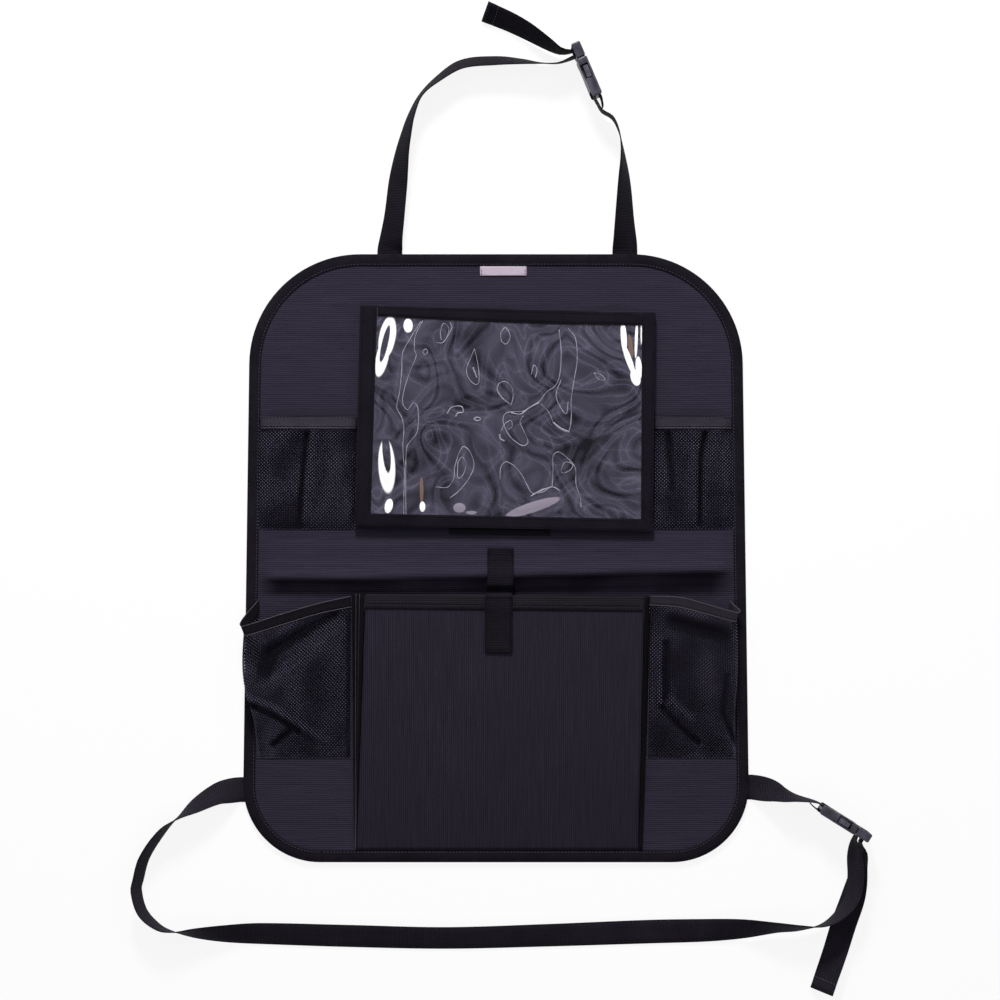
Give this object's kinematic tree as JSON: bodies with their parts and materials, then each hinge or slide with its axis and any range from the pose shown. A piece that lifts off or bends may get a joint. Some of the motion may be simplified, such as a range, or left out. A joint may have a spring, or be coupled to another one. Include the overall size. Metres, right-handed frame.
{
  "type": "car seat protector",
  "caption": "Car seat-back protector: bound textile mat with a clear tablet sleeve, net and textile pockets, and buckled headrest and backrest straps.",
  "frame": {"origin": "centre of the mat's back face, in the plane that it lies on", "axes": "+Z out of the pocket side, +Y up the seat towards the headrest strap, +X to the right seen from the pocket side"},
  "size_m": [0.7363, 0.9924, 0.0311],
  "materials": {
    "textile": "ribbed woven polyester, matt",
    "black_tape": "plain woven tape, matt",
    "hem_tape": "plain woven tape, matt",
    "black_net": "diamond net",
    "clear_film": "clear, glossy, slightly wavy",
    "webbing": "ribbed webbing",
    "black_plastic": "satin moulded plastic",
    "label_cloth": "woven label, blank"
  },
  "bodies": {
    "root": {"back_panel": "textile", "centre_pocket": "textile", "centre_pocket_hem": "black_tape", "centre_pocket_left_gusset": "black_tape", "centre_pocket_right_gusset": "black_tape", "closure_strap": "webbing", "edge_binding": "black_tape", "label": "label_cloth", "lower_buckle_plug": "black_plastic", "lower_buckle_socket": "black_plastic", "lower_left_pocket": "black_net", "lower_left_pocket_hem": "black_tape", "lower_right_pocket": "black_net", "lower_right_pocket_hem": "black_tape", "lower_strap_long": "webbing", "lower_strap_short": "webbing", "top_buckle_plug": "black_plastic", "top_buckle_socket": "black_plastic", "top_strap_long": "webbing", "top_strap_short": "webbing", "upper_left_pocket": "black_net", "upper_left_pocket_hem": "hem_tape", "upper_right_pocket": "black_net", "upper_right_pocket_hem": "hem_tape", "window_film": "clear_film", "window_frame_binding": "black_tape", "window_lower_tab": "black_tape", "window_top_band": "black_tape"}
  },
  "joints": []
}
